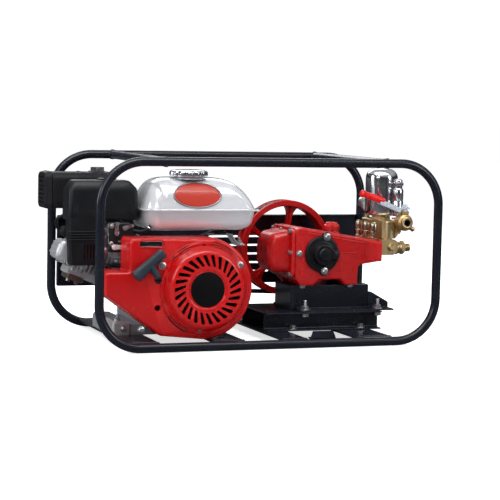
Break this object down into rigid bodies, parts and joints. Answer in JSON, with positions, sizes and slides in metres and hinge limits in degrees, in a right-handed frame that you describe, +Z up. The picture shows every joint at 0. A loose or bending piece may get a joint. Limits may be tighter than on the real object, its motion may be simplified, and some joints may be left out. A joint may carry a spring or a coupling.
{
  "type": "portable plunger pump",
  "caption": "Petrol engine belt-driving a three-plunger high-pressure pump, with an air chamber and outlet valve, in a twin-loop tubular carrying frame.",
  "frame": {"origin": "on the ground, at the middle of the pump set's footprint", "axes": "+X along the frame towards the pump head, +Y from the starter side to the belt side, +Z up"},
  "size_m": [0.7944, 0.431, 0.395],
  "materials": {
    "frame_black": "gloss powder coat, blue-black",
    "engine_red": "gloss enamel on pressed steel",
    "pump_red": "gloss enamel on iron castings",
    "pulley_red": "gloss enamel, bare grooves",
    "tank_silver": "bright silver-white gloss",
    "black_plastic": "moulded satin black",
    "slate_plastic": "moulded slate",
    "cast_aluminium": "die cast",
    "steel": "zinc plated or machined",
    "chrome": "mirror plated",
    "brass": "cast and machined",
    "muffler_black": "heat resistant satin black",
    "rubber": "matt black",
    "lever_red": "zinc plated steel with a dipped red grip"
  },
  "bodies": {
    "pump_set": {"frame_loop_front": "frame_black", "frame_loop_rear": "frame_black", "top_cross_tube_left": "frame_black", "top_cross_tube_right": "frame_black", "engine_rail_left": "frame_black", "engine_rail_right": "frame_black", "pump_rail_left": "frame_black", "pump_rail_right": "frame_black", "rear_guard": "frame_black", "pump_base_channel": "frame_black", "pump_bracket": "frame_black", "fan_cover": "engine_red", "recoil_cover": "engine_red", "pump_crankcase": "pump_red", "crankcase_cover": "pump_red", "fuel_tank": "tank_silver", "air_cleaner_housing": "black_plastic", "air_cleaner_cover": "black_plastic", "bearing_cap": "black_plastic", "engine_crankcase": "cast_aluminium", "engine_side_cover": "cast_aluminium", "cylinder_head": "cast_aluminium", "rocker_cover": "cast_aluminium", "carburettor": "cast_aluminium", "tank_bracket": "steel", "pressure_gauge": "steel", "air_chamber": "chrome", "regulator_body": "chrome", "suction_manifold": "brass", "discharge_manifold": "brass", "suction_fitting": "brass", "outlet_valve_body": "brass", "muffler": "muffler_black", "muffler_guard": "muffler_black", "drive_belt": "rubber", "ht_lead": "rubber", "spark_plug": "rubber"},
    "engine_rotor": {"engine_crankshaft": "steel", "flywheel": "cast_aluminium", "engine_pulley": "steel"},
    "pump_rotor": {"pump_crankshaft": "steel", "pump_pulley": "pulley_red"},
    "piston": {"piston": "cast_aluminium"},
    "recoil_reel": {"recoil_reel": "black_plastic"},
    "recoil_grip": {"recoil_grip": "slate_plastic"},
    "fuel_cap": {"fuel_cap": "chrome"},
    "throttle_lever": {"throttle_lever": "steel"},
    "choke_lever": {"choke_lever": "steel"},
    "fuel_cock_lever": {"fuel_cock_lever": "steel"},
    "engine_switch": {"engine_switch": "black_plastic"},
    "oil_dipstick": {"oil_dipstick": "black_plastic"},
    "outlet_lever": {"outlet_lever": "lever_red"},
    "regulator_knob": {"regulator_knob": "chrome"},
    "pump_oil_cap": {"pump_oil_cap": "pump_red"},
    "grease_cup_front": {"grease_cup_front": "brass"},
    "grease_cup_middle": {"grease_cup_middle": "brass"},
    "grease_cup_rear": {"grease_cup_rear": "brass"},
    "plunger_front": {"plunger_front": "steel"},
    "plunger_middle": {"plunger_middle": "steel"},
    "plunger_rear": {"plunger_rear": "steel"}
  },
  "joints": [
    {"name": "pump_spin", "type": "hinge", "parent": "pump_set", "child": "pump_rotor", "pos_m": [0.17425, 0.148, 0.18], "axis": [0, 1, 0], "continuous": true},
    {"name": "engine_spin", "type": "hinge", "parent": "pump_set", "child": "engine_rotor", "pos_m": [-0.11975, 0, 0.124], "axis": [0, 1, 0], "continuous": true},
    {"name": "piston_slide", "type": "slide", "parent": "pump_set", "child": "piston", "axis": [0.9272, 0, -0.3746], "range_m": [0, 0.045]},
    {"name": "recoil_pull", "type": "slide", "parent": "pump_set", "child": "recoil_grip", "axis": [-0.4997, -0.5496, 0.6695], "range_m": [0, 0.5], "stiffness_N_per_m": 20, "springref_m": -0.2},
    {"name": "reel_spin", "type": "hinge", "parent": "pump_set", "child": "recoil_reel", "pos_m": [-0.11975, -0.18, 0.124], "axis": [0, 1, 0], "range_deg": [0, 760]},
    {"name": "fuel_cap_turn", "type": "hinge", "parent": "pump_set", "child": "fuel_cap", "pos_m": [-0.12075, -0.05, 0.35], "axis": [0, 0, 1], "range_deg": [0, 90]},
    {"name": "throttle", "type": "hinge", "parent": "pump_set", "child": "throttle_lever", "pos_m": [-0.29075, -0.086, 0.204], "axis": [0, -1, 0], "range_deg": [0, 40]},
    {"name": "choke", "type": "hinge", "parent": "pump_set", "child": "choke_lever", "pos_m": [-0.26875, -0.086, 0.243], "axis": [0, 1, 0], "range_deg": [0, 60]},
    {"name": "fuel_cock", "type": "hinge", "parent": "pump_set", "child": "fuel_cock_lever", "pos_m": [-0.28575, -0.086, 0.232], "axis": [0, -1, 0], "range_deg": [0, 90]},
    {"name": "engine_switch_slide", "type": "slide", "parent": "pump_set", "child": "engine_switch", "axis": [1, 0, 0], "range_m": [0, 0.028]},
    {"name": "dipstick_turn", "type": "hinge", "parent": "pump_set", "child": "oil_dipstick", "pos_m": [-0.01275, 0.06, 0.096], "axis": [0.9439, 0, 0.3304], "range_deg": [0, 720]},
    {"name": "outlet_valve", "type": "hinge", "parent": "pump_set", "child": "outlet_lever", "pos_m": [0.37525, -0.066, 0.2763], "axis": [0, 0, 1], "range_deg": [0, 90]},
    {"name": "regulator_turn", "type": "hinge", "parent": "pump_set", "child": "regulator_knob", "pos_m": [0.37325, -0.034, 0.33], "axis": [0, 0, 1], "range_deg": [-540, 540]},
    {"name": "pump_oil_cap_turn", "type": "hinge", "parent": "pump_set", "child": "pump_oil_cap", "pos_m": [0.22925, 0, 0.231], "axis": [0, 0, 1], "range_deg": [0, 720]},
    {"name": "grease_cup_front_turn", "type": "hinge", "parent": "pump_set", "child": "grease_cup_front", "pos_m": [0.31325, -0.04, 0.2134], "axis": [0, 0, 1], "range_deg": [0, 720]},
    {"name": "grease_cup_middle_turn", "type": "hinge", "parent": "pump_set", "child": "grease_cup_middle", "pos_m": [0.31325, 0, 0.2134], "axis": [0, 0, 1], "range_deg": [0, 720]},
    {"name": "grease_cup_rear_turn", "type": "hinge", "parent": "pump_set", "child": "grease_cup_rear", "pos_m": [0.31325, 0.04, 0.2134], "axis": [0, 0, 1], "range_deg": [0, 720]},
    {"name": "plunger_front_slide", "type": "slide", "parent": "pump_set", "child": "plunger_front", "axis": [1, 0, 0], "range_m": [0, 0.018]},
    {"name": "plunger_middle_slide", "type": "slide", "parent": "pump_set", "child": "plunger_middle", "axis": [1, 0, 0], "range_m": [0, 0.018]},
    {"name": "plunger_rear_slide", "type": "slide", "parent": "pump_set", "child": "plunger_rear", "axis": [1, 0, 0], "range_m": [0, 0.018]}
  ],
  "couplings": [
    {"joint": "engine_spin", "follows": "pump_spin", "ratio": 2.9429},
    {"joint": "reel_spin", "follows": "recoil_pull", "rad_per_m": 26.316}
  ]
}
